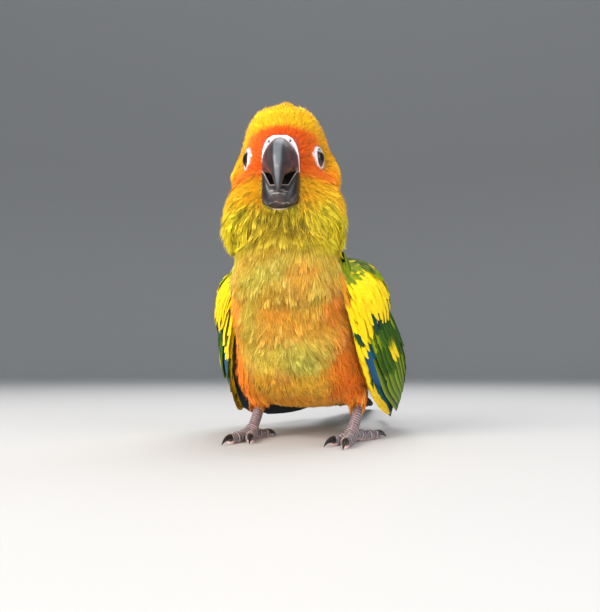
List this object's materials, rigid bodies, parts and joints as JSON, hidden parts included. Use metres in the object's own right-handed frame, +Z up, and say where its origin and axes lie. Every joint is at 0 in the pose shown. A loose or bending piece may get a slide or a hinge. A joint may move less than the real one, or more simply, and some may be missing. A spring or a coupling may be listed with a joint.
{
  "type": "sun conure",
  "caption": "Life-size sun conure parrot as a still model, standing upright on both feet, wings held loosely folded, long tail laid behind, face turned to the viewer.",
  "frame": {"origin": "middle of the bird's footprint, on the floor that its feet stand on", "axes": "+Z up, -Y the way the breast faces, +Y along the tail, +X to the bird's own left"},
  "size_m": [0.0744, 0.2316, 0.1211],
  "materials": {
    "plumage_face": "soft feathers, yellow crown, orange-red face, yellow-green ruff",
    "plumage_breast": "soft feathers, olive-yellow breast, deep orange flanks and belly",
    "plumage_wing": "overlapping feathers, bright yellow, green and blue, silky",
    "plumage_tail": "long dark green-blue feathers, silky",
    "bill": "horn, charcoal, satin gloss",
    "bare_skin": "bare skin, pinkish white, matt",
    "eye": "wet gloss, near black",
    "foot_skin": "dark scales with pale pink edges",
    "claw": "horn, near black, glossy"
  },
  "bodies": {
    "root": {"head": "plumage_face", "neck": "plumage_breast", "torso": "plumage_breast", "rump": "plumage_breast", "tail": "plumage_tail", "wing_left": "plumage_wing", "wing_right": "plumage_wing", "thigh_left": "plumage_breast", "thigh_right": "plumage_breast", "bill_upper": "bill", "bill_lower": "bill", "cere": "bare_skin", "eye_left": "eye", "eye_right": "eye", "eyelids_left": "bare_skin", "eyelids_right": "bare_skin", "tarsus_left": "foot_skin", "tarsus_right": "foot_skin", "foot_left": "foot_skin", "foot_right": "foot_skin", "claw_left_1": "claw", "claw_left_2": "claw", "claw_left_3": "claw", "claw_left_4": "claw", "claw_right_1": "claw", "claw_right_2": "claw", "claw_right_3": "claw", "claw_right_4": "claw"}
  },
  "joints": []
}
